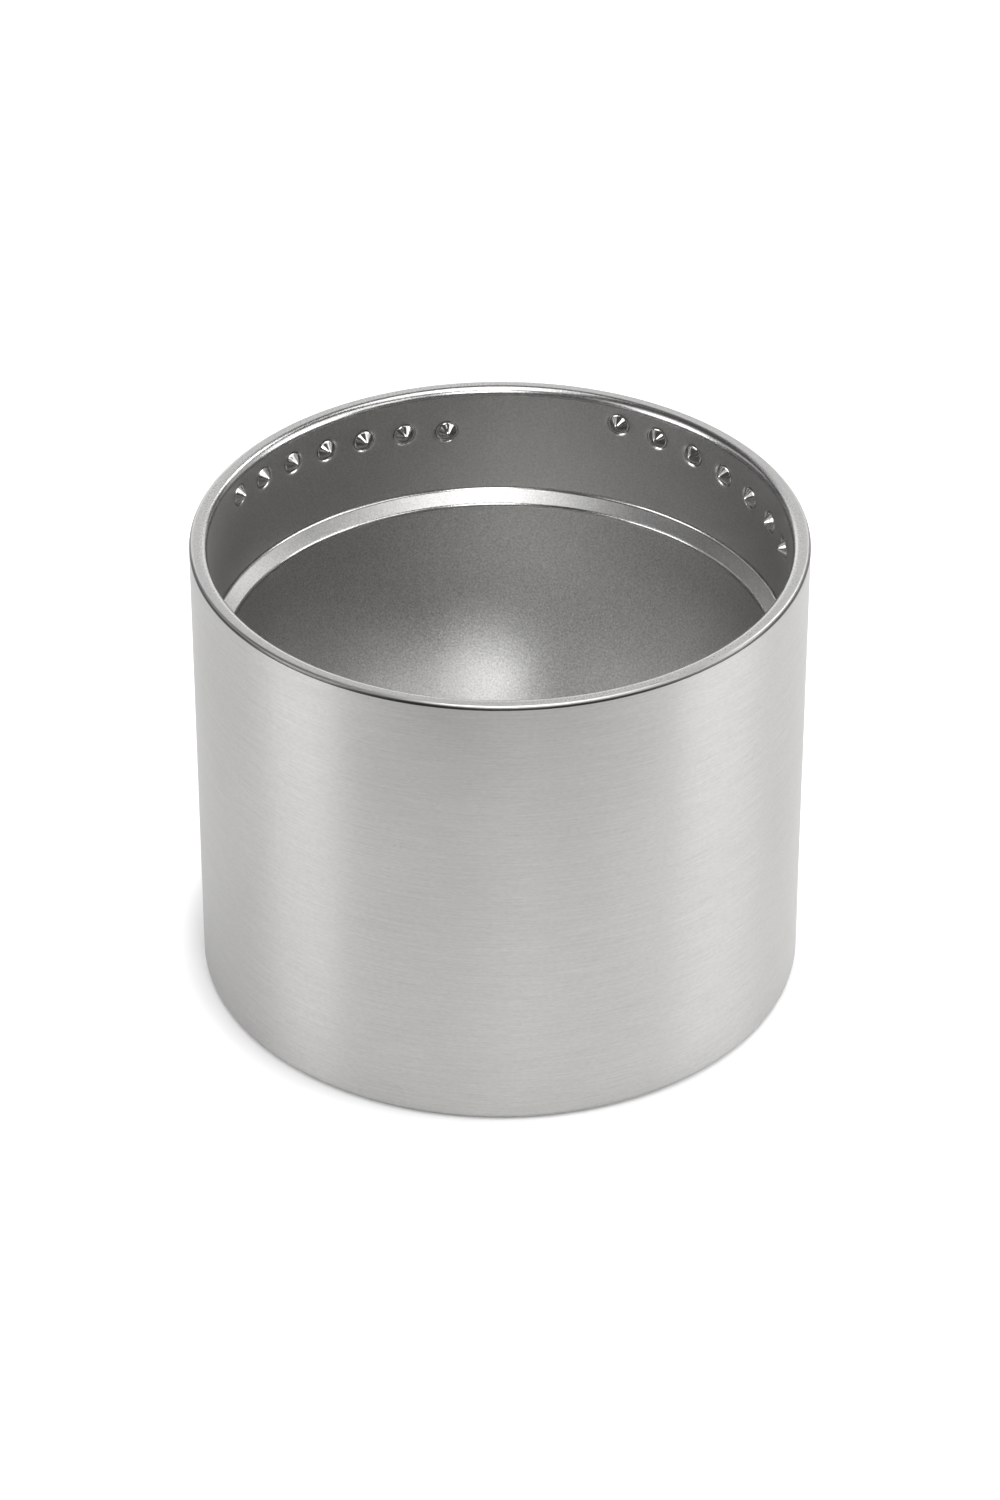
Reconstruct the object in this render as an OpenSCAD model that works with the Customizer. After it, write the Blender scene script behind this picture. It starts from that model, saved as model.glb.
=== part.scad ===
// Double-walled stainless steel cup with a dimple thread inside its mouth.
// The axis is Z, the foot stands on Z = 0, and all sizes are in millimetres.

/* [Vessel] */
// Outside diameter of the brushed wall
outer_d = 90; // [84:1:110]
// Height from the foot to the top of the rim
height = 72; // [66:1:90]
// Sheet thickness of the outer shell and the base plate
shell_t = 0.6; // [0.5:0.1:0.7]
// Sheet thickness of the liner and the base cover
liner_t = 0.5; // [0.4:0.1:0.6]

/* [Rim] */
// Width of the rim between the brushed wall and the mouth
rim_w = 2.6; // [2.4:0.1:3]
// Radius over which the rim turns down into the mouth
rim_turn_r = 1.2; // [0.8:0.1:1.4]

/* [Seat] */
// Depth below the rim at which the liner starts to narrow
seat_depth = 17.1; // [14:0.1:20]
// How far the seat stands in from the wall above it
seat_w = 2.2; // [1.8:0.1:3]
// Slope of the seat below the horizontal, in degrees
seat_slope = 38; // [30:1:50]
// Radius of the bends above and below the seat
seat_bend_r = 0.7; // [0.7:0.1:1]

/* [Bowl] */
// Height of the bowl's floor above the foot
floor_z = 9; // [8.5:0.5:12]
// Radius of the flat in the middle of the bowl's floor
floor_flat_r = 2; // [2:1:20]

/* [Dimple thread] */
// Number of thread starts round the mouth
starts = 4; // [2:1:5]
// Dimples in each start
dimples_per_start = 7; // [4:1:7]
// Angle between neighbouring dimples, in degrees
dimple_step = 9; // [8:0.5:10]
// Fall of the thread in one whole turn
thread_lead = 21; // [12:1:24]
// Depth below the rim of the first dimple in each start
first_dimple_depth = 3.95; // [3.5:0.05:5]
// Angle of the first start's first dimple, counted from +X
first_dimple_angle = 65; // [0:5:90]
// Width of a dimple where it leaves the wall
dimple_d = 3.2; // [2.6:0.1:3.4]
// How far a dimple stands out of the wall
dimple_h = 1.3; // [1:0.1:1.4]
// Radius of a dimple's tip
dimple_tip_r = 0.45; // [0.35:0.05:0.5]

/* [Base] */
// Radius of the foot's outer edge
foot_r = 1.2; // [0.9:0.1:1.6]
// Width of the ring that the vessel stands on
foot_w = 5.5; // [5:0.5:6.5]
// Height of the base plate's middle above the foot's lip
base_recess = 1.8; // [1.7:0.1:2.2]
// Height of the base cover above the plane the foot stands on
cover_z = 0.8; // [0.6:0.1:1]
// Radius of the evacuation port
port_r = 1; // [0.8:0.1:1.2]
// Height of the pressed-up cup round the port
port_rise = 1.1; // [1:0.1:1.3]

/* [Getter and foil] */
// Diameter of the getter pellet
getter_d = 8; // [6:0.5:9]
// Height of the getter pellet
getter_h = 2.2; // [1.5:0.1:2.4]
// Distance of the getter from the axis
getter_offset = 20; // [16:1:22]
// Thickness of the getter's strap
strap_t = 0.3; // [0.2:0.1:0.3]
// Thickness of the copper foil
foil_t = 0.15; // [0.1:0.05:0.2]

/* [Hidden] */
$fn = 96;

// Radii of the two walls, from the outside in
shell_r = outer_d / 2;
shell_inner_r = shell_r - shell_t;
mouth_r = shell_r - rim_w;
bowl_wall_r = mouth_r - seat_w;

// The rim weld is a quarter-round bead on top of the shell's edge
rim_bead_r = shell_t;
shell_top_z = height - rim_bead_r;

// The seat is a straight slope between two equal bends
seat_turn = 90 - seat_slope;
seat_run = s_run(seat_w, seat_turn, seat_bend_r);
seat_drop = s_reach(seat_w, seat_turn, seat_bend_r);
seat_end_z = height - seat_depth - seat_drop;

// Below the seat comes a short straight collar, and then the bowl's curve down to the floor's flat
least_collar = 2;
bowl_r = min(bowl_wall_r - floor_flat_r, seat_end_z - least_collar - floor_z);
bowl_turn_z = floor_z + bowl_r;

// Inside radius of a tight bend in sheet
tight_bend = 0.2;

// The base plate lies on the foot's lip and steps up towards its middle
foot_lip_r = shell_r - foot_w;
plate_gap = 0.1;
plate_r = shell_r - foot_r - plate_gap;
plate_z = shell_t + base_recess;
plate_top_z = plate_z + shell_t;
plate_bend_r = shell_t + tight_bend;
plate_turn = 60;
base_bead_r = 0.5;
plate_flange_r = foot_lip_r - 2 * base_bead_r;
port_ledge = 1.6;
port_flat_r = port_r + port_ledge;
port_z = plate_z + port_rise;

// The cover is a pan whose edge stands against the plate's middle
cover_bend_r = liner_t + tight_bend;
cover_gap = 0.4;
cover_r = plate_flange_r - s_reach(base_recess, plate_turn, plate_bend_r) - cover_gap;
tape_w = 8;
tape_r = cover_r - tape_w / 2;

// The strap passes over the pellet with a little room on each side
strap_w = 4;
strap_foot = 3;
strap_gap = 0.25;
strap_bend_r = strap_t + tight_bend;

// The foil on the collar ends a little short of the seat, and goes round part of the bowl's curve.
// The dished foil below it covers the rest of the curve, but for a small gap.
foil_margin = 1;
foil_wrap_turn = 62;
foil_gap_turn = 2;

// The dimples are pressed, so each is hollow behind and a little thinner than the sheet
dimple_thinning = 0.1;

// Number of flats round the curve of a weld bead
bead_flats = 6;

// How far a cutting shape runs past the surface that it cuts
past = 0.3;

// Length of the straight stretch in an S-bend of a given offset
function s_run(offset_by, turn, bend_r) = (offset_by - 2 * bend_r * (1 - cos(turn))) / sin(turn);

// Distance that such an S-bend takes up along the sheet's first direction
function s_reach(offset_by, turn, bend_r) =
    2 * bend_r * sin(turn) + s_run(offset_by, turn, bend_r) * cos(turn);

// Cross-section of a bent sheet. It starts at the origin and runs along +X, with its metal to the left.
// Each move is [straight run, turn to the left in degrees, bend radius of the right-hand face].
module sheet(moves, t, i = 0) {
    if (i < len(moves)) {
        run = moves[i][0];
        turn = moves[i][1];
        bend_r = moves[i][2];
        side = sign(turn);
        square([run, t]);
        translate([run, 0]) {
            if (turn != 0) bend(turn, bend_r, t);
            translate([bend_r * sin(abs(turn)), side * bend_r * (1 - cos(turn))])
                rotate(turn)
                    sheet(moves, t, i + 1);
        }
    }
}

// One bend of a sheet, about a centre to its left or right
module bend(turn, bend_r, t) {
    side = sign(turn);
    inner_r = turn > 0 ? bend_r - t : bend_r;
    outer_r = inner_r + t;
    wedge_r = 2 * outer_r;
    translate([0, side * bend_r])
        intersection() {
            difference() {
                circle(outer_r);
                circle(inner_r);
            }
            polygon([
                [0, 0],
                for (share = [0, 0.5, 1]) let (a = turn * share - side * 90) wedge_r * [cos(a), sin(a)]
            ]);
        }
}

// A quarter of a round bead, in the quadrant that the two signs give, with its curve in short flats
module quarter_bead(bead_r, side_x, side_y) {
    polygon([
        [0, 0],
        for (i = [0:bead_flats])
            let (a = 90 * i / bead_flats)
            bead_r * [side_x * cos(a), side_y * sin(a)]
    ]);
}

// Half of a round-tipped cone's section, with the base radius at Y = 0 and the flank going on below it
module dimple_section(base_r, tall, tip_r, sunk) {
    centre = tall - tip_r;
    reach = norm([base_r, centre]);
    flank = atan2(centre, -base_r) - asin(tip_r / reach) - 90;
    tip_y = centre + tip_r * sin(flank);
    polygon([
        [0, -sunk],
        [base_r + sunk * tan(flank), -sunk],
        [tip_r * cos(flank), tip_y],
        [0, tip_y]
    ]);
    intersection() {
        translate([0, centre]) circle(tip_r);
        translate([0, tip_y]) square(tip_r);
    }
}

// A ring of rectangular section
module band(inner_r, outer_r, low_z, high_z) {
    rotate_extrude()
        translate([inner_r, low_z])
            square([outer_r - inner_r, high_z - low_z]);
}

// Puts one shape at every dimple, with its own +Z towards the vessel's axis
module at_dimples() {
    for (start = [0:starts - 1], i = [0:dimples_per_start - 1]) {
        angle = first_dimple_angle + start * 360 / starts - i * dimple_step;
        depth = first_dimple_depth + thread_lead * i * dimple_step / 360;
        rotate(angle)
            translate([mouth_r, 0, height - depth])
                rotate([0, -90, 0])
                    children();
    }
}

// Brushed outer wall, turned in at the foot to a flat lip
module outer_shell() {
    color("#c4c3c0")
        rotate_extrude()
            translate([foot_lip_r, 0])
                sheet(
                    [
                        [foot_w - foot_r, 90, foot_r],
                        [shell_top_z - foot_r, 0, 0]
                    ],
                    shell_t
                );
}

// Section of the liner from the rim's flange to the middle of the floor, along its visible face.
// The floor is drawn past the axis and trimmed there.
module liner_section() {
    intersection() {
        translate([shell_inner_r, height])
            rotate(180)
                sheet(
                    [
                        [shell_inner_r - mouth_r - rim_turn_r, 90, rim_turn_r],
                        [seat_depth - rim_turn_r, -seat_turn, seat_bend_r],
                        [seat_run, seat_turn, seat_bend_r],
                        [seat_end_z - bowl_turn_z, -90, bowl_r],
                        [bowl_wall_r - bowl_r + past, 0, 0]
                    ],
                    liner_t
                );
        square([shell_r, height]);
    }
}

// Liner with its rim flange, pressed-in dimple thread, sloping seat and half-round bowl
module inner_liner() {
    color("#8d8d8b")
        difference() {
            union() {
                rotate_extrude() liner_section();
                at_dimples()
                    rotate_extrude()
                        dimple_section(dimple_d / 2, dimple_h, dimple_tip_r, liner_t / 2);
            }
            at_dimples()
                translate([0, 0, -liner_t])
                    rotate_extrude()
                        dimple_section(
                            dimple_d / 2 - dimple_thinning,
                            dimple_h,
                            dimple_tip_r - dimple_thinning,
                            past
                        );
        }
}

// Polished bead between the liner's flange and the shell's top edge
module rim_weld() {
    color("#d6d6d4")
        rotate_extrude()
            translate([shell_inner_r, shell_top_z])
                quarter_bead(rim_bead_r, 1, 1);
}

// Plate that closes the foot, with the evacuation port in a pressed-up cup
module base_plate() {
    port_s = s_run(port_rise, plate_turn, plate_bend_r);
    port_reach = s_reach(port_rise, plate_turn, plate_bend_r);
    step_s = s_run(base_recess, plate_turn, plate_bend_r);
    step_reach = s_reach(base_recess, plate_turn, plate_bend_r);
    middle_run = plate_flange_r - step_reach - port_flat_r - port_reach;
    color("#a9a9a7")
        rotate_extrude()
            translate([port_r, port_z])
                sheet(
                    [
                        [port_flat_r - port_r, -plate_turn, plate_bend_r],
                        [port_s, plate_turn, plate_bend_r],
                        [middle_run, -plate_turn, plate_bend_r],
                        [step_s, plate_turn, plate_bend_r],
                        [plate_r - plate_flange_r, 0, 0]
                    ],
                    shell_t
                );
}

// Bead between the foot's lip and the base plate
module base_weld() {
    color("#9b9b99")
        rotate_extrude()
            translate([foot_lip_r, shell_t])
                quarter_bead(base_bead_r, -1, -1);
}

// Glass plug in the evacuation port, with a flat puddle under the plate and a small dome above it
module seal_bead() {
    puddle_margin = 0.4;
    puddle_r = port_flat_r - puddle_margin;
    puddle_t = 0.6;
    dome_h = 0.25;
    color("#3f4a45")
        rotate_extrude()
            polygon([
                [0, port_z - puddle_t],
                [puddle_r - puddle_t, port_z - puddle_t],
                [puddle_r, port_z],
                [port_r, port_z],
                [port_r, port_z + shell_t],
                [port_r / 2, port_z + shell_t + dome_h],
                [0, port_z + shell_t + dome_h]
            ]);
}

// Shallow pan that hides the port
module base_cover() {
    color("#b9b9b6")
        rotate_extrude()
            translate([0, cover_z])
                sheet(
                    [
                        [cover_r - cover_bend_r, 90, cover_bend_r],
                        [plate_z - cover_z - cover_bend_r, 0, 0]
                    ],
                    liner_t
                );
}

// Foam tape between the cover and the base plate
module cover_tape() {
    color("#e4e2da")
        band(tape_r - tape_w, tape_r, cover_z + liner_t, plate_z);
}

// Pellet that takes up the gas left in the gap between the walls
module getter_pellet() {
    color("#5c5a57")
        translate([getter_offset, 0, plate_top_z])
            cylinder(h = getter_h, d = getter_d);
}

// Strap over the pellet, with a foot on each side
module getter_clip() {
    half = getter_d / 2 + strap_gap;
    leg = getter_h - strap_bend_r - tight_bend;
    color("#b0b0ad")
        translate([getter_offset, strap_w / 2, plate_top_z])
            rotate([90, 0, 0])
                linear_extrude(strap_w)
                    translate([-half - strap_t - strap_foot, 0])
                        sheet(
                            [
                                [strap_foot + strap_t - strap_bend_r, 90, strap_bend_r],
                                [leg, -90, tight_bend],
                                [2 * (half - tight_bend), -90, tight_bend],
                                [leg, 90, strap_bend_r],
                                [strap_foot + strap_t - strap_bend_r, 0, 0]
                            ],
                            strap_t
                        );
}

// Copper foil round the collar and the upper part of the bowl
module foil_wrap() {
    start_z = seat_end_z - foil_margin;
    color("#b87333")
        rotate_extrude()
            translate([bowl_wall_r + liner_t, start_z])
                rotate(270)
                    sheet([[start_z - bowl_turn_z, -foil_wrap_turn, bowl_r + liner_t]], foil_t);
}

// Dished copper foil under the bottom of the bowl
module foil_disc() {
    turn = 90 - foil_wrap_turn - foil_gap_turn;
    color("#b87333")
        rotate_extrude()
            translate([0, floor_z - liner_t - foil_t])
                sheet([[bowl_wall_r - bowl_r, turn, bowl_r + liner_t + foil_t]], foil_t);
}

outer_shell();
inner_liner();
rim_weld();
base_plate();
base_weld();
seal_bead();
base_cover();
cover_tape();
getter_pellet();
getter_clip();
foil_wrap();
foil_disc();
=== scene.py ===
"""Looks of a double-walled steel cup with a thread of pressed dimples inside its mouth."""

import math

import bmesh
import bpy
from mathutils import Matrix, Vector


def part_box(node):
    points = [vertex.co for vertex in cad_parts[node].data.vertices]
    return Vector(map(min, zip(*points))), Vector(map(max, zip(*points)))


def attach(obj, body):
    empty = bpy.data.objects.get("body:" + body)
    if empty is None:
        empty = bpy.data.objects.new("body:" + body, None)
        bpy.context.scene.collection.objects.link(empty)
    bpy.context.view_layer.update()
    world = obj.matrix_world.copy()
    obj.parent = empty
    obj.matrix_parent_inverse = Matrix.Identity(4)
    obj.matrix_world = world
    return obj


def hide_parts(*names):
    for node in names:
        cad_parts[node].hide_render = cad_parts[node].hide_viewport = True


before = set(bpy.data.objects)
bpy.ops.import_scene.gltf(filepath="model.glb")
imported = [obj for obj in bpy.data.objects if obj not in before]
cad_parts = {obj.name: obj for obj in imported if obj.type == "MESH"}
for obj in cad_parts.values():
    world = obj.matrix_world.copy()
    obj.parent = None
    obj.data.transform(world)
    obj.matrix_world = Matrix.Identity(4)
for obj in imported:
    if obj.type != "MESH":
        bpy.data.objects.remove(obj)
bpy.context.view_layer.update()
scene = bpy.context.scene
scene.view_settings.view_transform = "Standard"

# Sizes of the cup in metres, as the solids have them
MM = 0.001
SHELL_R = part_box("outer_shell")[1].x
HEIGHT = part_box("inner_liner")[1].z
SHELL_T = 0.6 * MM
LINER_T = 0.5 * MM
MOUTH_R = SHELL_R - 2.6 * MM
BOWL_WALL_R = MOUTH_R - 2.2 * MM
RIM_TURN_R = 1.2 * MM
SEAT_DEPTH = 17.1 * MM
SEAT_TURN = 52
SEAT_BEND_R = 0.7 * MM
FLOOR_FLAT_R = 2 * MM
BOWL_R = BOWL_WALL_R - FLOOR_FLAT_R
FLOOR_Z = 9 * MM
FOOT_R = 1.2 * MM
FOOT_LIP_R = SHELL_R - 5.5 * MM
PLATE_Z = 2.4 * MM
PLATE_TURN = 60
PLATE_BEND_R = 0.8 * MM
PLATE_FLANGE_R = FOOT_LIP_R - 1 * MM
PLATE_RECESS = 1.8 * MM
PLATE_PLAY = 0.1 * MM
PORT_R = 1 * MM
PORT_FLAT_R = 2.6 * MM
PORT_RISE = 1.1 * MM
COVER_Z = 0.8 * MM
COVER_BEND_R = 0.7 * MM
COVER_PLAY = 0.4 * MM
BASE_BEAD_R = 0.5 * MM

# The dimple thread
STARTS = 4
DIMPLES_PER_START = 7
DIMPLE_STEP = math.radians(9)
THREAD_LEAD = 21 * MM
FIRST_DEPTH = 3.95 * MM
FIRST_ANGLE = math.radians(65)
DIMPLE_H = 1.06 * MM
DIMPLE_SLOPE = 1.0
DIMPLE_TIP = 0.24 * MM
DRAWN_R = 1.16 * MM
DRAWN_W = 0.5 * MM
DRAWN_DEPTH = 0.46 * MM
BAND_TOP = HEIGHT - 1.4 * MM
BAND_LOW = HEIGHT - 10 * MM
BAND_BACK = 0.4 * MM
BAND_EDGE = 0.002 * MM

# How a dimple runs into its ring, and where its polish ends, in widths of the ring
TIP_BLEND = 0.8
POLISH_HELD = 0.9
POLISH_GONE = 1.6

# Fineness of the meshes. The hold is a short run next to a bend, which keeps its shading off the flat.
HOLD = 0.02 * MM
LEAST_HELD_RUN = 6 * HOLD
LEAST_BEND_STEPS = 6
BEND_STEP = 6
LARGE_BEND_STEP = 2.5
LARGE_BEND_R = 5 * MM
BEAD_STEPS = 12
SHELL_FACETS = 240
LINER_FACETS = 410
BASE_FACETS = 180
THREAD_FACETS = 1640
THREAD_ROWS = 54
SAME_POINT = 1e-8
SAME_PLACE = 1e-7
FRONT_MARGIN = 1e-5

# Polish of the liner's faces: 0 is blasted and 1 is bright
MATT = 0.0
RIM_POLISH = 0.3
RIM_BEND_POLISH = 0.55
SEAT_TOP_POLISH = 0.7
SEAT_LOW_POLISH = 0.75

# The range that a noise keeps to, near enough, and the sockets of a Mix node that mixes colours
NOISE_LOW = 0.3
NOISE_HIGH = 0.7
COLOR_A = 6
COLOR_B = 7
COLOR_RESULT = 2

# Floor, light and camera
FLOOR_REACH = 3
FLOOR_FRONT = -0.175
FLOOR_DROP = 0.02 * MM
FLOOR_PAINT = 0.8
FLOOR_LIFT = 0.5
FLOOR_SHINE = 0.11
SHADOW_REACH = 6 * MM
SHADOW_POWER = 1.8
AIR_LEVEL = 0.1
LAMP_AIM = Vector((0, 0, 40 * MM))
CAMERA_AIM = Vector((0, 0, 34.56 * MM))
CAMERA_ELEVATION = 34.03
CAMERA_DISTANCE = 772 * MM
CAMERA_LENS = 124.5
CAMERA_SENSOR = 36


# Node trees

def new_tree(name, kind, inputs, outputs):
    """A node group with named inputs and outputs."""
    tree = bpy.data.node_groups.new(name, kind)
    for socket_name, socket_type, value in inputs:
        socket = tree.interface.new_socket(socket_name, in_out="INPUT", socket_type=socket_type)
        if value is not None:
            socket.default_value = value
    for socket_name, socket_type in outputs:
        tree.interface.new_socket(socket_name, in_out="OUTPUT", socket_type=socket_type)
    return tree, tree.nodes.new("NodeGroupInput"), tree.nodes.new("NodeGroupOutput")


def add(tree, kind, inputs=None, **settings):
    """A node with its settings, and its inputs linked to a socket or set to a value."""
    made = tree.nodes.new(kind)
    for key, value in settings.items():
        setattr(made, key, value)
    for key, value in (inputs or {}).items():
        if isinstance(value, bpy.types.NodeSocket):
            tree.links.new(value, made.inputs[key])
        else:
            made.inputs[key].default_value = value
    return made


def sums(tree, operation, *values):
    """The output of one Math node."""
    return add(tree, "ShaderNodeMath", dict(enumerate(values)), operation=operation).outputs[0]


def length(tree, a, b):
    """The long side of a right-angled triangle."""
    squares = sums(tree, "ADD", sums(tree, "MULTIPLY", a, a), sums(tree, "MULTIPLY", b, b))
    return sums(tree, "SQRT", squares)


# Sections of bent sheet

def sheet_outline(moves, start, heading, thickness):
    """Closed outline of a bent sheet in the plane of radius and height, with its metal left of the path.
    Each move is (run, turn to the left in degrees, bend radius of the right-hand face), and may go on with
    the polish of the run and the polish of the bend."""
    right, left = [], []
    x, z = start
    angle = math.radians(heading)

    def mark(px, pz, a, polish):
        right.append((px, pz, polish))
        left.append((px - thickness * math.sin(a), pz + thickness * math.cos(a), polish))

    for run, turn, bend_r, *polishes in moves:
        run_polish, bend_polish = polishes or (MATT, MATT)
        stops = [0.0, run]
        if run > LEAST_HELD_RUN:
            stops = [0.0, HOLD, run - HOLD, run]
        for s in stops:
            mark(x + s * math.cos(angle), z + s * math.sin(angle), angle, run_polish)
        x += run * math.cos(angle)
        z += run * math.sin(angle)
        if turn:
            side = 1 if turn > 0 else -1
            cx = x - side * bend_r * math.sin(angle)
            cz = z + side * bend_r * math.cos(angle)
            step = LARGE_BEND_STEP if bend_r > LARGE_BEND_R else BEND_STEP
            steps = max(LEAST_BEND_STEPS, math.ceil(abs(turn) / step))
            for k in range(1, steps + 1):
                a = angle + math.radians(turn) * k / steps
                x = cx + side * bend_r * math.sin(a)
                z = cz - side * bend_r * math.cos(a)
                mark(x, z, a, bend_polish)
            angle += math.radians(turn)
    outline = right + left[::-1] + right[:1]
    kept = [outline[0]]
    for p in outline[1:]:
        if math.dist(p[:2], kept[-1][:2]) > SAME_POINT:
            kept.append(p)
    return kept


def s_bend(offset, turn, bend_r):
    """Straight run inside an S-bend, and the length that the whole bend takes up."""
    t = math.radians(turn)
    run = (offset - 2 * bend_r * (1 - math.cos(t))) / math.sin(t)
    return run, 2 * bend_r * math.sin(t) + run * math.cos(t)


def section_object(name, outline):
    """The outline as a chain of vertices, with each one's polish kept as an attribute."""
    mesh = bpy.data.meshes.new(name)
    edges = [(i, i + 1) for i in range(len(outline) - 1)]
    mesh.from_pydata([(x, 0, z) for x, z, _ in outline], edges, [])
    polish = mesh.attributes.new("polish", "FLOAT", "POINT")
    polish.data.foreach_set("value", [p for _, _, p in outline])
    made = bpy.data.objects.new(name, mesh)
    scene.collection.objects.link(made)
    return made


# Geometry trees

def with_polish(tree, geometry, value):
    """The geometry with the value kept on its points as their polish."""
    kept = add(
        tree,
        "GeometryNodeStoreNamedAttribute",
        {"Geometry": geometry, "Name": "polish", "Value": value},
        data_type="FLOAT",
        domain="POINT",
    )
    return kept.outputs[0]


def hand_over(tree, geometry, finish, result):
    """Ends a tree: the geometry is made real and gets its material."""
    real = add(tree, "GeometryNodeRealizeInstances", {"Geometry": geometry})
    dressed = add(tree, "GeometryNodeSetMaterial", {"Geometry": real.outputs[0], "Material": finish})
    tree.links.new(dressed.outputs[0], result.inputs[0])


def turning_tree():
    """Turns a section round the Z axis into a closed skin."""
    tree, given, result = new_tree(
        "Turn on the axis",
        "GeometryNodeTree",
        [
            ("Section", "NodeSocketGeometry", None),
            ("Facets", "NodeSocketInt", 64),
            ("Finish", "NodeSocketMaterial", None),
        ],
        [("Skin", "NodeSocketGeometry")],
    )
    section, facets = given.outputs["Section"], given.outputs["Facets"]
    count = add(tree, "GeometryNodeAttributeDomainSize", {"Geometry": section}).outputs["Point Count"]
    columns = sums(tree, "ADD", facets, 1)
    grid = add(tree, "GeometryNodeMeshGrid", {"Vertices X": columns, "Vertices Y": count})
    index = add(tree, "GeometryNodeInputIndex").outputs[0]
    row = sums(tree, "MODULO", index, count)
    column = sums(tree, "FLOOR", sums(tree, "DIVIDE", sums(tree, "ADD", index, 0.5), count))
    angle = sums(tree, "MULTIPLY", column, sums(tree, "DIVIDE", 2 * math.pi, facets))

    def of_section(value, data_type):
        """What the section has at this row."""
        inputs = {"Geometry": section, "Value": value, "Index": row}
        return add(tree, "GeometryNodeSampleIndex", inputs, data_type=data_type).outputs[0]

    place = of_section(add(tree, "GeometryNodeInputPosition").outputs[0], "FLOAT_VECTOR")
    parts = add(tree, "ShaderNodeSeparateXYZ", {0: place})
    turned = add(
        tree,
        "ShaderNodeCombineXYZ",
        {
            "X": sums(tree, "MULTIPLY", parts.outputs["X"], sums(tree, "COSINE", angle)),
            "Y": sums(tree, "MULTIPLY", parts.outputs["X"], sums(tree, "SINE", angle)),
            "Z": parts.outputs["Z"],
        },
    )
    polish = add(tree, "GeometryNodeInputNamedAttribute", {"Name": "polish"}, data_type="FLOAT")
    carried = of_section(polish.outputs["Attribute"], "FLOAT")
    skin = {"Geometry": grid.outputs["Mesh"], "Position": turned.outputs[0]}
    placed = add(tree, "GeometryNodeSetPosition", skin)
    kept = with_polish(tree, placed.outputs[0], carried)
    closed = add(tree, "GeometryNodeMergeByDistance", {"Geometry": kept, "Distance": SAME_PLACE})
    smooth = add(tree, "GeometryNodeSetShadeSmooth", {"Geometry": closed.outputs[0]})
    hand_over(tree, smooth.outputs[0], given.outputs["Finish"], result)
    return tree


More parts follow.
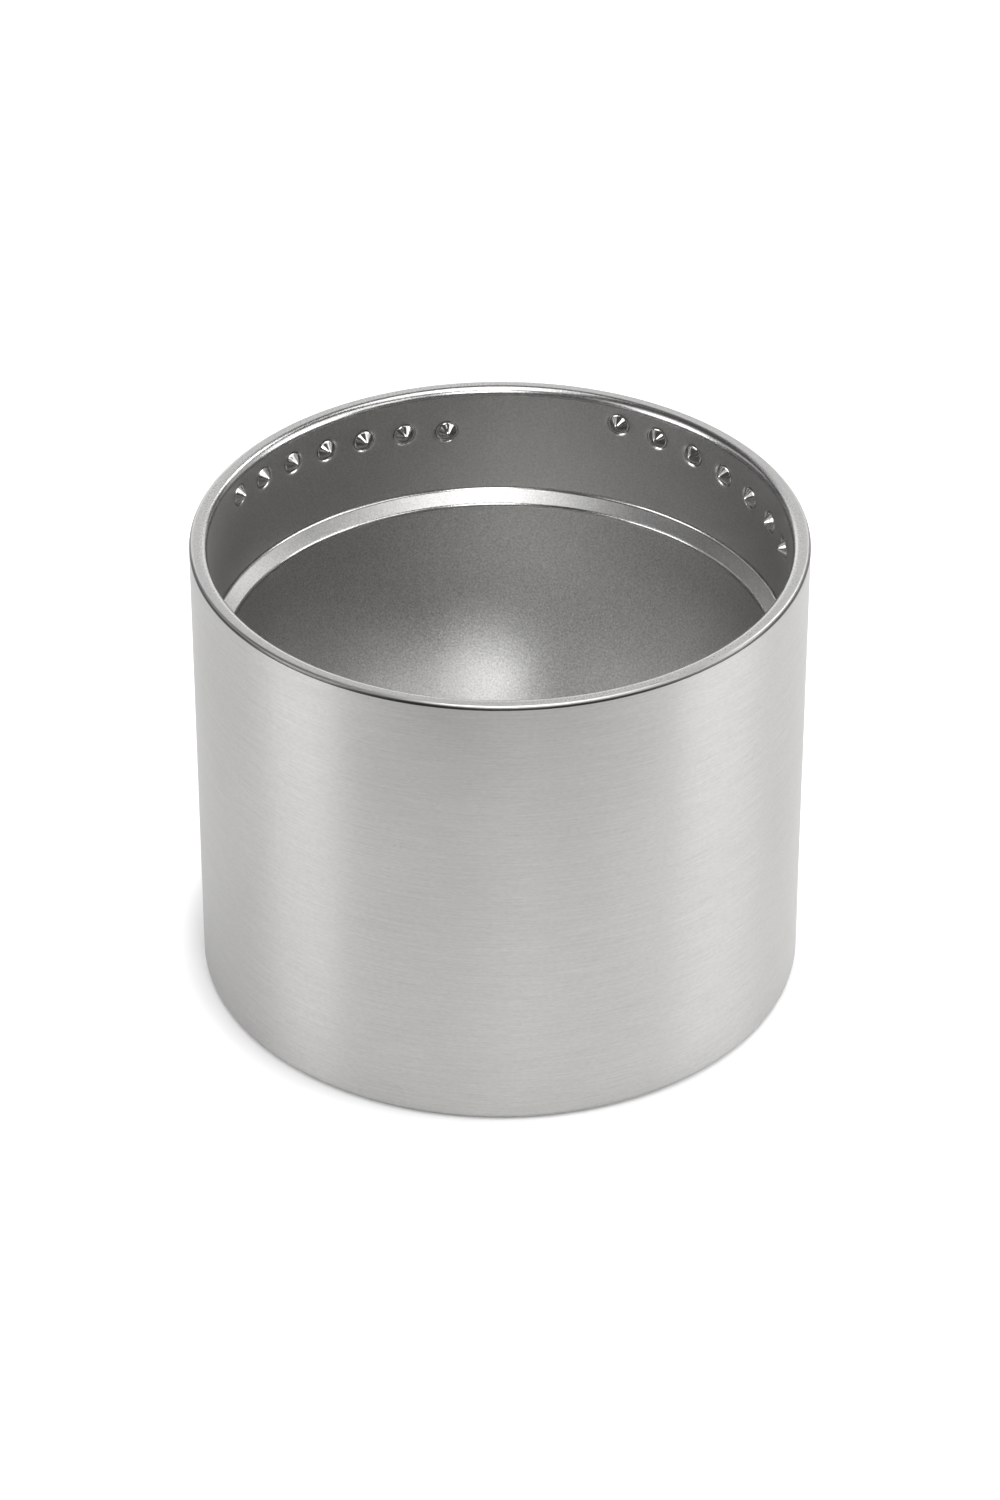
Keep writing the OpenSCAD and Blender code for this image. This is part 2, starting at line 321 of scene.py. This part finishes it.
def pressing_tree():
    """Presses the dimples of the thread into a turned band, with the ring of metal that each one draws in."""
    tree, given, result = new_tree(
        "Press the dimple thread",
        "GeometryNodeTree",
        [
            ("Band", "NodeSocketGeometry", None),
            ("Starts", "NodeSocketInt", 1),
            ("Dimples", "NodeSocketInt", 1),
            ("Step", "NodeSocketFloat", 0.1),
            ("Lead", "NodeSocketFloat", 0.01),
            ("First angle", "NodeSocketFloat", 0.0),
            ("First height", "NodeSocketFloat", 0.0),
            ("Wall radius", "NodeSocketFloat", 0.04),
            ("Dimple height", "NodeSocketFloat", 0.001),
            ("Slope", "NodeSocketFloat", 1.0),
            ("Tip", "NodeSocketFloat", 0.0003),
            ("Drawn radius", "NodeSocketFloat", 0.002),
            ("Drawn width", "NodeSocketFloat", 0.0004),
            ("Drawn depth", "NodeSocketFloat", 0.0001),
            ("Finish", "NodeSocketMaterial", None),
        ],
        [("Thread", "NodeSocketGeometry")],
    )
    put = given.outputs
    point = add(tree, "GeometryNodeInputPosition").outputs[0]
    at = add(tree, "ShaderNodeSeparateXYZ", {0: point})
    x, y, z = at.outputs["X"], at.outputs["Y"], at.outputs["Z"]
    radius = length(tree, x, y)
    angle = sums(tree, "ARCTAN2", y, x)

    # Which dimple is nearest, and how far off it is along the girth and up the wall
    share = sums(tree, "DIVIDE", 2 * math.pi, put["Starts"])
    past = sums(tree, "FLOORED_MODULO", sums(tree, "SUBTRACT", put["First angle"], angle), share)
    last = sums(tree, "MULTIPLY", sums(tree, "SUBTRACT", put["Dimples"], 1), put["Step"])
    halfway = sums(tree, "MULTIPLY", sums(tree, "ADD", share, last), 0.5)
    wrapped = sums(tree, "GREATER_THAN", past, halfway)
    past = sums(tree, "SUBTRACT", past, sums(tree, "MULTIPLY", wrapped, share))
    nearest = sums(tree, "ROUND", sums(tree, "DIVIDE", past, put["Step"]))
    along = sums(tree, "MULTIPLY", nearest, put["Step"])
    along = sums(tree, "MINIMUM", sums(tree, "MAXIMUM", along, 0.0), last)
    fall = sums(tree, "MULTIPLY", along, sums(tree, "DIVIDE", put["Lead"], 2 * math.pi))
    across = sums(tree, "MULTIPLY", sums(tree, "SUBTRACT", past, along), put["Wall radius"])
    above = sums(tree, "SUBTRACT", z, sums(tree, "SUBTRACT", put["First height"], fall))
    off = length(tree, across, above)

    # A blunt cone, and a shallow ring round it
    blunt = length(tree, sums(tree, "MULTIPLY", off, put["Slope"]), put["Tip"])
    cone = sums(tree, "SUBTRACT", sums(tree, "ADD", put["Dimple height"], put["Tip"]), blunt)
    side = sums(tree, "DIVIDE", sums(tree, "SUBTRACT", off, put["Drawn radius"]), put["Drawn width"])
    bell = sums(tree, "EXPONENT", sums(tree, "MULTIPLY", sums(tree, "MULTIPLY", side, side), -1.0))
    ring = sums(tree, "MULTIPLY", sums(tree, "MULTIPLY", bell, put["Drawn depth"]), -1.0)
    pressed = sums(tree, "SMOOTH_MAX", cone, ring, sums(tree, "MULTIPLY", put["Tip"], TIP_BLEND))

    # Only the face that shows moves, and the band's back stays as it is
    front = sums(tree, "LESS_THAN", radius, sums(tree, "ADD", put["Wall radius"], FRONT_MARGIN))
    moved = sums(tree, "SUBTRACT", radius, sums(tree, "MULTIPLY", pressed, front))
    grow = sums(tree, "DIVIDE", moved, radius)
    place = add(
        tree,
        "ShaderNodeCombineXYZ",
        {"X": sums(tree, "MULTIPLY", x, grow), "Y": sums(tree, "MULTIPLY", y, grow), "Z": z},
    )
    inner = sums(tree, "MULTIPLY_ADD", put["Drawn width"], POLISH_HELD, put["Drawn radius"])
    outer = sums(tree, "MULTIPLY_ADD", put["Drawn width"], POLISH_GONE, put["Drawn radius"])
    polish = add(
        tree,
        "ShaderNodeMapRange",
        {"Value": off, "From Min": inner, "From Max": outer, "To Min": 1.0, "To Max": MATT},
        interpolation_type="SMOOTHSTEP",
    )
    kept = with_polish(tree, put["Band"], polish.outputs[0])
    placed = add(tree, "GeometryNodeSetPosition", {"Geometry": kept, "Position": place.outputs[0]})
    hand_over(tree, placed.outputs[0], put["Finish"], result)
    return tree


def made_by(piece, tree, **values):
    """Runs a geometry tree on the piece and keeps the result as a plain mesh with its faces outwards."""
    modifier = piece.modifiers.new("tree", "NODES")
    modifier.node_group = tree
    for item in tree.interface.items_tree:
        if item.item_type == "SOCKET" and item.in_out == "INPUT" and item.name in values:
            modifier[item.identifier] = values[item.name]
    graph = bpy.context.evaluated_depsgraph_get()
    mesh = bpy.data.meshes.new_from_object(piece.evaluated_get(graph), depsgraph=graph)
    piece.modifiers.clear()
    piece.data = mesh
    mesh.name = piece.name
    work = bmesh.new()
    work.from_mesh(mesh)
    bmesh.ops.recalc_face_normals(work, faces=work.faces)
    work.to_mesh(mesh)
    work.free()
    return piece


# Finishes

def brush_lines_group():
    """Fine lines left by a belt, drawn along two axes of the place that is given and across the third."""
    tree, given, result = new_tree(
        "Brush lines",
        "ShaderNodeTree",
        [
            ("Place", "NodeSocketVector", None),
            ("Across", "NodeSocketFloat", 6000.0),
            ("Along", "NodeSocketFloat", 60.0),
        ],
        [("Lines", "NodeSocketFloat"), ("Broad", "NodeSocketFloat")],
    )
    put = given.outputs
    stretch = add(tree, "ShaderNodeCombineXYZ", {"X": put["Along"], "Y": put["Along"], "Z": put["Across"]})

    def stretched(place, by):
        """The place, with each axis multiplied."""
        return add(tree, "ShaderNodeVectorMath", {0: place, 1: by}, operation="MULTIPLY").outputs[0]

    spread = stretched(put["Place"], stretch.outputs[0])
    coarse = stretched(spread, (0.4, 0.4, 0.12))
    fine = {"Vector": spread, "Scale": 1.0, "Detail": 3.0, "Roughness": 0.6}
    wide = {"Vector": coarse, "Scale": 1.0, "Detail": 2.0}
    tree.links.new(add(tree, "ShaderNodeTexNoise", fine).outputs[0], result.inputs["Lines"])
    tree.links.new(add(tree, "ShaderNodeTexNoise", wide).outputs[0], result.inputs["Broad"])
    return tree


def grain_group():
    """Pitted grain of blasted or pressed surfaces, with a slow cloud over it."""
    tree, given, result = new_tree(
        "Blast grain",
        "ShaderNodeTree",
        [
            ("Place", "NodeSocketVector", None),
            ("Grain size", "NodeSocketFloat", 4000.0),
            ("Cloud size", "NodeSocketFloat", 60.0),
        ],
        [("Grain", "NodeSocketFloat"), ("Cloud", "NodeSocketFloat")],
    )
    put = given.outputs
    fine = {"Vector": put["Place"], "Scale": put["Grain size"], "Detail": 2.0, "Roughness": 0.65}
    slow = {"Vector": put["Place"], "Scale": put["Cloud size"], "Detail": 3.0}
    tree.links.new(add(tree, "ShaderNodeTexNoise", fine).outputs[0], result.inputs["Grain"])
    tree.links.new(add(tree, "ShaderNodeTexNoise", slow).outputs[0], result.inputs["Cloud"])
    return tree


BRUSH_LINES = brush_lines_group()
BLAST_GRAIN = grain_group()


def new_finish(name):
    """An empty material with its Principled shader and the object's own coordinates."""
    material = bpy.data.materials.new(name)
    material.use_nodes = True
    tree = material.node_tree
    tree.nodes.clear()
    shader = tree.nodes.new("ShaderNodeBsdfPrincipled")
    end = tree.nodes.new("ShaderNodeOutputMaterial")
    tree.links.new(shader.outputs[0], end.inputs["Surface"])
    place = tree.nodes.new("ShaderNodeTexCoord").outputs["Object"]
    return material, tree, shader, place


def dress(tree, shader, color, rough, normal=None, metallic=1.0):
    """Gives the shader its colour, roughness, normal and share of metal."""
    tree.links.new(color, shader.inputs["Base Color"])
    tree.links.new(rough, shader.inputs["Roughness"])
    if normal is not None:
        tree.links.new(normal, shader.inputs["Normal"])
    shader.inputs["Metallic"].default_value = metallic


def effect(tree, group, **values):
    """One shader group placed in a material."""
    inputs = {key.replace("_", " "): value for key, value in values.items()}
    return add(tree, "ShaderNodeGroup", inputs, node_tree=group)


def between(tree, value, low, high, to_low, to_high):
    """A value carried from one range to another, kept inside it."""
    made = add(
        tree,
        "ShaderNodeMapRange",
        {"Value": value, "From Min": low, "From Max": high, "To Min": to_low, "To Max": to_high},
    )
    return made.outputs[0]


def from_noise(tree, noise, to_low, to_high):
    """A noise carried to another range."""
    return between(tree, noise, NOISE_LOW, NOISE_HIGH, to_low, to_high)


def tint(tree, factor, low, high):
    """A colour between two, by a factor."""
    inputs = {"Factor": factor, COLOR_A: (*low, 1), COLOR_B: (*high, 1)}
    return add(tree, "ShaderNodeMix", inputs, data_type="RGBA").outputs[COLOR_RESULT]


def bumped(tree, height, strength, distance):
    """A normal from a height."""
    made = add(tree, "ShaderNodeBump", {"Height": height, "Strength": strength, "Distance": distance})
    return made.outputs[0]


def polish_of(tree):
    """The polish that the piece carries."""
    return add(tree, "ShaderNodeAttribute", attribute_name="polish").outputs["Fac"]


def brushed_wall():
    """Steel brushed round its girth: lines run level, so reflections smear upwards and downwards."""
    dark, light = (0.461, 0.458, 0.45), (0.597, 0.593, 0.583)
    material, tree, shader, place = new_finish("Brushed wall")
    lines = effect(tree, BRUSH_LINES, Place=place, Across=5200.0, Along=130.0)
    grit = effect(tree, BRUSH_LINES, Place=place, Across=4400.0, Along=1300.0)
    cloud = effect(tree, BLAST_GRAIN, Place=place, Cloud_size=45.0)
    mixed = sums(tree, "MULTIPLY", sums(tree, "ADD", lines.outputs["Lines"], grit.outputs["Lines"]), 0.5)
    color = tint(tree, from_noise(tree, mixed, 0, 1), dark, light)
    cloudy = from_noise(tree, cloud.outputs["Cloud"], -0.02, 0.02)
    rough = sums(tree, "ADD", from_noise(tree, mixed, 0.28, 0.34), cloudy)
    dress(tree, shader, color, rough, bumped(tree, mixed, 0.1, 0.01 * MM))
    tangent = add(tree, "ShaderNodeTangent", direction_type="RADIAL", axis="Z")
    tree.links.new(tangent.outputs[0], shader.inputs["Tangent"])
    shader.inputs["Anisotropic"].default_value = 0.86
    shader.inputs["Anisotropic Rotation"].default_value = 0.25
    return material


def blasted_liner():
    """Bead-blasted steel, smoother where it was rolled or pressed hard, and coarser below the seat."""
    dark, light = (0.375, 0.373, 0.367), (0.625, 0.622, 0.613)
    polished_rough = 0.1
    coarse_gain, fine_gain = 1.6, 0.9
    seat_z = HEIGHT - SEAT_DEPTH
    seat_fade = 4 * MM
    material, tree, shader, place = new_finish("Blasted liner")
    blast = effect(tree, BLAST_GRAIN, Place=place, Grain_size=3600.0, Cloud_size=50.0)
    grain = blast.outputs["Grain"]
    polish = polish_of(tree)
    cloudy = from_noise(tree, blast.outputs["Cloud"], -0.03, 0.03)
    matt = sums(tree, "ADD", from_noise(tree, grain, 0.35, 0.42), cloudy)
    rough = add(tree, "ShaderNodeMix", {"Factor": polish, "A": matt, "B": polished_rough}, data_type="FLOAT")
    height = add(tree, "ShaderNodeSeparateXYZ", {0: place}).outputs["Z"]
    gain = between(tree, height, seat_z - seat_fade, seat_z, coarse_gain, fine_gain)
    speck = sums(tree, "MULTIPLY_ADD", sums(tree, "SUBTRACT", grain, 0.5), gain, 0.5)
    color = tint(tree, between(tree, speck, 0.2, 0.8, 0, 1), dark, light)
    pits = sums(tree, "MULTIPLY", grain, sums(tree, "SUBTRACT", 1.0, polish))
    dress(tree, shader, color, rough.outputs[0], bumped(tree, pits, 0.5, 0.05 * MM))
    return material


def polished_weld():
    """Weld bead polished with the rim on its crown. Its outer side is painted near black as painted shade,
    standing in for the dark line of shade along the seam at the rim's outer edge.
    """
    # The dark colour is painted shade along the rim's outer seam, and the light one is the crown's metal
    flank_shade, crown = (0.09, 0.088, 0.085), (0.54, 0.537, 0.528)
    flank_shade_end, crown_start = 0.36, 0.56
    material, tree, shader, place = new_finish("Polished weld")
    lines = effect(tree, BRUSH_LINES, Place=place, Across=7000.0, Along=70.0)
    # Polish, with a little noise, carries the colour from the painted shade up to the crown
    shade_mix = sums(tree, "ADD", polish_of(tree), from_noise(tree, lines.outputs["Broad"], -0.06, 0.06))
    color = tint(tree, between(tree, shade_mix, flank_shade_end, crown_start, 0, 1), flank_shade, crown)
    dress(tree, shader, color, from_noise(tree, lines.outputs["Lines"], 0.28, 0.38))
    return material


def ring_brushed():
    """Base cover brushed in rings about its middle."""
    dark, light = (0.5, 0.498, 0.488), (0.6, 0.597, 0.585)
    material, tree, shader, place = new_finish("Ring-brushed cover")
    parts = add(tree, "ShaderNodeSeparateXYZ", {0: place})
    x, y = parts.outputs["X"], parts.outputs["Y"]
    ringed = add(tree, "ShaderNodeCombineXYZ", {"X": x, "Y": y, "Z": length(tree, x, y)})
    brushed = effect(tree, BRUSH_LINES, Place=ringed.outputs[0], Across=5200.0, Along=40.0)
    lines = brushed.outputs["Lines"]
    color = tint(tree, from_noise(tree, lines, 0, 1), dark, light)
    dress(tree, shader, color, from_noise(tree, lines, 0.24, 0.38), bumped(tree, lines, 0.2, 0.02 * MM))
    return material


def rolled_sheet():
    """Mill-finish sheet with faint straight lines from the rolls."""
    dark, light = (0.44, 0.438, 0.43), (0.54, 0.537, 0.527)
    material, tree, shader, place = new_finish("Rolled sheet")
    turned = add(tree, "ShaderNodeMapping", {"Vector": place, "Rotation": (math.pi / 2, 0, 0)})
    lines = effect(tree, BRUSH_LINES, Place=turned.outputs[0], Across=3000.0, Along=30.0)
    cloud = effect(tree, BLAST_GRAIN, Place=place, Cloud_size=80.0)
    cloudy = from_noise(tree, cloud.outputs["Cloud"], -0.04, 0.04)
    rough = sums(tree, "ADD", from_noise(tree, lines.outputs["Lines"], 0.28, 0.38), cloudy)
    dress(tree, shader, tint(tree, lines.outputs["Broad"], dark, light), rough)
    return material


def grained(name, sizes, colors, color_by, rough, rough_by, bump=None, metallic=1.0):
    """A finish of grain alone. Sizes are of the grain and the cloud, and rough is a range. Bump is which of
    the two makes the relief, its strength and its depth."""
    material, tree, shader, place = new_finish(name)
    grain_size, cloud_size = sizes
    grain = effect(tree, BLAST_GRAIN, Place=place, Grain_size=grain_size, Cloud_size=cloud_size).outputs
    normal = None
    if bump:
        bump_by, strength, depth = bump
        normal = bumped(tree, grain[bump_by], strength, depth)
    color = tint(tree, grain[color_by], *colors)
    dress(tree, shader, color, from_noise(tree, grain[rough_by], *rough), normal, metallic)
    return material


def laid_weld():
    """Weld bead as it was laid, with its ripples and heat tint."""
    colors = (0.36, 0.34, 0.31), (0.52, 0.51, 0.5)
    return grained("Foot weld", (1500.0, 200.0), colors, "Cloud", (0.25, 0.45), "Grain",
                   ("Grain", 0.5, 0.05 * MM))


def solder_glass():
    """Dark sealing glass, clouded and uneven in its shine."""
    colors = (0.02, 0.03, 0.026), (0.06, 0.075, 0.066)
    return grained("Solder glass", (2500.0, 600.0), colors, "Cloud", (0.05, 0.18), "Grain", metallic=0.0)


def foam_tape():
    """Closed-cell foam with its cut cells."""
    colors = (0.6, 0.59, 0.55), (0.8, 0.79, 0.75)
    return grained("Foam tape", (2500.0, 150.0), colors, "Grain", (0.75, 0.9), "Cloud",
                   ("Grain", 0.6, 0.1 * MM), metallic=0.0)


def getter_powder():
    """Pressed metal powder."""
    colors = (0.08, 0.078, 0.075), (0.17, 0.165, 0.16)
    return grained("Getter powder", (5000.0, 300.0), colors, "Grain", (0.65, 0.8), "Cloud",
                   ("Grain", 0.6, 0.05 * MM), metallic=0.6)


def copper_foil():
    """Bright copper foil with the creases of wrapping."""
    colors = (0.62, 0.27, 0.16), (0.78, 0.4, 0.27)
    return grained("Copper foil", (700.0, 140.0), colors, "Cloud", (0.14, 0.3), "Grain",
                   ("Cloud", 0.5, 0.4 * MM))


WALL_FINISH = brushed_wall()
LINER_FINISH = blasted_liner()
WELD_FINISH = polished_weld()
COVER_FINISH = ring_brushed()
SHEET_FINISH = rolled_sheet()
FOOT_WELD_FINISH = laid_weld()

# Pieces that show

TURNING = turning_tree()
PRESSING = pressing_tree()


def turned_piece(name, outline, node, finish, facets):
    """A piece turned from its section, in place of the solid that it stands for."""
    piece = made_by(section_object(name, outline), TURNING, Facets=facets, Finish=finish)
    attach(piece, "root")
    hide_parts(node)


shell_outline = sheet_outline(
    [
        (SHELL_R - FOOT_R - FOOT_LIP_R, 90, FOOT_R),
        (HEIGHT - SHELL_T - FOOT_R, 0, 0),
    ],
    (FOOT_LIP_R, 0), 0, SHELL_T,
)
turned_piece("brushed_shell", shell_outline, "outer_shell", WALL_FINISH, SHELL_FACETS)

seat_run, seat_drop = s_bend(MOUTH_R - BOWL_WALL_R, SEAT_TURN, SEAT_BEND_R)
liner_outline = sheet_outline(
    [
        (SHELL_R - SHELL_T - MOUTH_R - RIM_TURN_R, 90, RIM_TURN_R, RIM_POLISH, RIM_BEND_POLISH),
        (SEAT_DEPTH - RIM_TURN_R, -SEAT_TURN, SEAT_BEND_R, MATT, SEAT_TOP_POLISH),
        (seat_run, SEAT_TURN, SEAT_BEND_R, MATT, SEAT_LOW_POLISH),
        (HEIGHT - SEAT_DEPTH - seat_drop - FLOOR_Z - BOWL_R, -90, BOWL_R),
        (FLOOR_FLAT_R, 0, 0),
    ],
    (SHELL_R - SHELL_T, HEIGHT), 180, LINER_T,
)
# The thread's band sits flush in a groove of the liner's wall
groove_r = MOUTH_R + BAND_BACK
groove = [
    (MOUTH_R, BAND_TOP + BAND_EDGE, MATT),
    (MOUTH_R, BAND_TOP, MATT),
    (groove_r, BAND_TOP, MATT),
    (groove_r, BAND_LOW, MATT),
    (MOUTH_R, BAND_LOW, MATT),
    (MOUTH_R, BAND_LOW - BAND_EDGE, MATT),
]
wall_above = [
    i for i, (x, z, _) in enumerate(liner_outline[:-1]) if abs(x - MOUTH_R) < SAME_PLACE and z > BAND_TOP
]
groove_start = max(wall_above) + 1
liner_outline[groove_start:groove_start] = groove
turned_piece("blasted_liner", liner_outline, "inner_liner", LINER_FINISH, LINER_FACETS)


def band_outline(rows):
    """Section of the thread's band, with closely spaced rows on the face that shows."""
    first = BAND_TOP - BAND_EDGE
    fall = BAND_LOW + 2 * BAND_EDGE - BAND_TOP
    steps = [first + fall * k / rows for k in range(rows + 1)]
    face = [(MOUTH_R, z, MATT) for z in [BAND_TOP, *steps, BAND_LOW]]
    back = groove_r - BAND_EDGE
    return [(back, BAND_TOP, MATT), *face, (back, BAND_LOW, MATT), (back, BAND_TOP, MATT)]


band = section_object("pressed_dimples", band_outline(THREAD_ROWS))
thread = made_by(band, TURNING, Facets=THREAD_FACETS, Finish=LINER_FINISH)
made_by(
    thread,
    PRESSING,
    **{
        "Starts": STARTS,
        "Dimples": DIMPLES_PER_START,
        "Step": DIMPLE_STEP,
        "Lead": THREAD_LEAD,
        "First angle": FIRST_ANGLE,
        "First height": HEIGHT - FIRST_DEPTH,
        "Wall radius": MOUTH_R,
        "Dimple height": DIMPLE_H,
        "Slope": DIMPLE_SLOPE,
        "Tip": DIMPLE_TIP,
        "Drawn radius": DRAWN_R,
        "Drawn width": DRAWN_W,
        "Drawn depth": DRAWN_DEPTH,
        "Finish": LINER_FINISH,
    },
)
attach(thread, "root")


def bead_outline(cx, cz, radius, side_x, side_z):
    """A quarter-round bead in the given quadrant, with its polish rising from the side to the crown. On the
    rim bead this polish also sets where the painted shade on the side gives way to the crown's colour.
    """
    points = [(cx, cz, 1.0)]
    for k in range(BEAD_STEPS + 1):
        rise = k / BEAD_STEPS
        a = math.pi / 2 * rise
        points.append((cx + side_x * radius * math.cos(a), cz + side_z * radius * math.sin(a), rise))
    return points + points[:1]


rim_outline = bead_outline(SHELL_R - SHELL_T, HEIGHT - SHELL_T, SHELL_T, 1, 1)
turned_piece("rim_bead", rim_outline, "rim_weld", WELD_FINISH, SHELL_FACETS)
foot_outline = bead_outline(FOOT_LIP_R, SHELL_T, BASE_BEAD_R, -1, -1)
turned_piece("foot_bead", foot_outline, "base_weld", FOOT_WELD_FINISH, SHELL_FACETS)

port_run, port_reach = s_bend(PORT_RISE, PLATE_TURN, PLATE_BEND_R)
step_run, step_reach = s_bend(PLATE_RECESS, PLATE_TURN, PLATE_BEND_R)
plate_outline = sheet_outline(
    [
        (PORT_FLAT_R - PORT_R, -PLATE_TURN, PLATE_BEND_R),
        (port_run, PLATE_TURN, PLATE_BEND_R),
        (PLATE_FLANGE_R - step_reach - PORT_FLAT_R - port_reach, -PLATE_TURN, PLATE_BEND_R),
        (step_run, PLATE_TURN, PLATE_BEND_R),
        (SHELL_R - FOOT_R - PLATE_PLAY - PLATE_FLANGE_R, 0, 0),
    ],
    (PORT_R, PLATE_Z + PORT_RISE), 0, SHELL_T,
)
turned_piece("closing_plate", plate_outline, "base_plate", SHEET_FINISH, BASE_FACETS)

cover_r = PLATE_FLANGE_R - step_reach - COVER_PLAY
cover_outline = sheet_outline(
    [
        (cover_r - COVER_BEND_R, 90, COVER_BEND_R),
        (PLATE_Z - COVER_Z - COVER_BEND_R, 0, 0),
    ],
    (0, COVER_Z), 0, LINER_T,
)
turned_piece("foot_cover", cover_outline, "base_cover", COVER_FINISH, BASE_FACETS)

# Pieces inside the walls keep their solids and get a finish
foil = copper_foil()
for node, finish in (
    ("seal_bead", solder_glass()),
    ("cover_tape", foam_tape()),
    ("getter_pellet", getter_powder()),
    ("getter_clip", SHEET_FINISH),
    ("foil_wrap", foil),
    ("foil_disc", foil),
):
    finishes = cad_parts[node].data.materials
    finishes.clear()
    finishes.append(finish)


# Floor, light and camera

def pale_floor():
    """White table top that keeps the cup's shadow. The camera and the steel see it a little brighter than its
    paint is, except close to the foot."""
    material = bpy.data.materials.new("Pale floor")
    material.use_nodes = True
    tree = material.node_tree
    tree.nodes.clear()
    paint = add(tree, "ShaderNodeBsdfDiffuse", {"Color": (FLOOR_PAINT, FLOOR_PAINT, FLOOR_PAINT, 1)})
    path = tree.nodes.new("ShaderNodeLightPath")
    clear = add(tree, "ShaderNodeAmbientOcclusion", {"Distance": SHADOW_REACH}, samples=16).outputs["AO"]
    seen = sums(tree, "MULTIPLY", path.outputs["Is Camera Ray"], FLOOR_LIFT)
    seen = sums(tree, "MULTIPLY_ADD", path.outputs["Is Glossy Ray"], FLOOR_SHINE, seen)
    seen = sums(tree, "MULTIPLY", seen, sums(tree, "POWER", clear, SHADOW_POWER))
    glow = add(tree, "ShaderNodeEmission", {"Color": (1, 1, 1, 1), "Strength": seen})
    both = add(tree, "ShaderNodeAddShader", {0: paint.outputs[0], 1: glow.outputs[0]})
    end = tree.nodes.new("ShaderNodeOutputMaterial")
    tree.links.new(both.outputs[0], end.inputs["Surface"])
    return material


floor_corners = [
    (-FLOOR_REACH, FLOOR_FRONT, 0),
    (FLOOR_REACH, FLOOR_FRONT, 0),
    (FLOOR_REACH, FLOOR_REACH, 0),
    (-FLOOR_REACH, FLOOR_REACH, 0),
]
floor_mesh = bpy.data.meshes.new("floor")
floor_mesh.from_pydata(floor_corners, [], [(0, 1, 2, 3)])
floor_mesh.materials.append(pale_floor())
floor = bpy.data.objects.new("floor", floor_mesh)
floor.location.z = -FLOOR_DROP
scene.collection.objects.link(floor)


def set_up(name, data, aim, azimuth, elevation, distance):
    """A lamp or camera that faces a point. Azimuth 0 is on the camera's side and 90 to its right."""
    a, e = math.radians(azimuth), math.radians(elevation)
    back = Vector((math.sin(a) * math.cos(e), -math.cos(a) * math.cos(e), math.sin(e)))
    made = bpy.data.objects.new(name, data)
    made.location = aim + back * distance
    made.rotation_mode = "QUATERNION"
    made.rotation_quaternion = (-back).to_track_quat("-Z", "Y")
    scene.collection.objects.link(made)
    return made


# Softboxes. The level is how bright a lamp's face looks, where 1 is a white card.
for name, azimuth, elevation, distance, width, height, level in (
    ("top softbox", 95, 83, 1.0, 0.7, 0.6, 2.7),
    ("top front softbox", 0, 71, 1.1, 0.5, 0.45, 2.6),
    ("left softbox", -70, 13, 0.9, 0.44, 0.42, 5.2),
    ("upper left softbox", -66, 35, 0.9, 0.62, 0.28, 1.1),
    ("left edge softbox", -102, 24, 0.9, 0.62, 0.26, 0.6),
    ("right softbox", 80, 13, 0.9, 0.54, 0.42, 4.4),
    ("upper right softbox", 70, 36, 0.9, 0.95, 0.33, 1.9),
    ("right edge softbox", 113, 18, 1.0, 0.52, 0.55, 0.55),
    ("front softbox", 7, 36, 1.2, 0.46, 0.46, 5.2),
    ("front fill", 16, 40, 1.2, 1.2, 0.4, 0.35),
    ("rear softbox", 180, 34, 1.0, 1.3, 0.4, 0.95),
    ("low rear softbox", 180, 12, 1.0, 1.3, 0.36, 1.3),
    ("rear left softbox", -150, 18, 1.0, 0.4, 0.45, 0.3),
    ("rear right softbox", 135, 42, 1.0, 0.3, 0.3, 4.6),
):
    lamp = bpy.data.lights.new(name, "AREA")
    lamp.shape = "RECTANGLE"
    lamp.size = width
    lamp.size_y = height
    lamp.energy = math.pi * width * height * level
    set_up(name, lamp, LAMP_AIM, azimuth, elevation, distance)

world = bpy.data.worlds.new("Studio")
scene.world = world
world.use_nodes = True
sky = world.node_tree
sky.nodes.clear()
camera_ray = sky.nodes.new("ShaderNodeLightPath").outputs["Is Camera Ray"]
sky_level = add(sky, "ShaderNodeMix", {"Factor": camera_ray, "A": AIR_LEVEL, "B": 1.0}, data_type="FLOAT")
air = add(sky, "ShaderNodeBackground", {"Color": (1, 1, 1, 1), "Strength": sky_level.outputs[0]})
sky.links.new(air.outputs[0], add(sky, "ShaderNodeOutputWorld").inputs["Surface"])

camera_data = bpy.data.cameras.new("camera")
camera_data.lens = CAMERA_LENS
camera_data.sensor_width = CAMERA_SENSOR
scene.camera = set_up("camera", camera_data, CAMERA_AIM, 0, CAMERA_ELEVATION, CAMERA_DISTANCE)
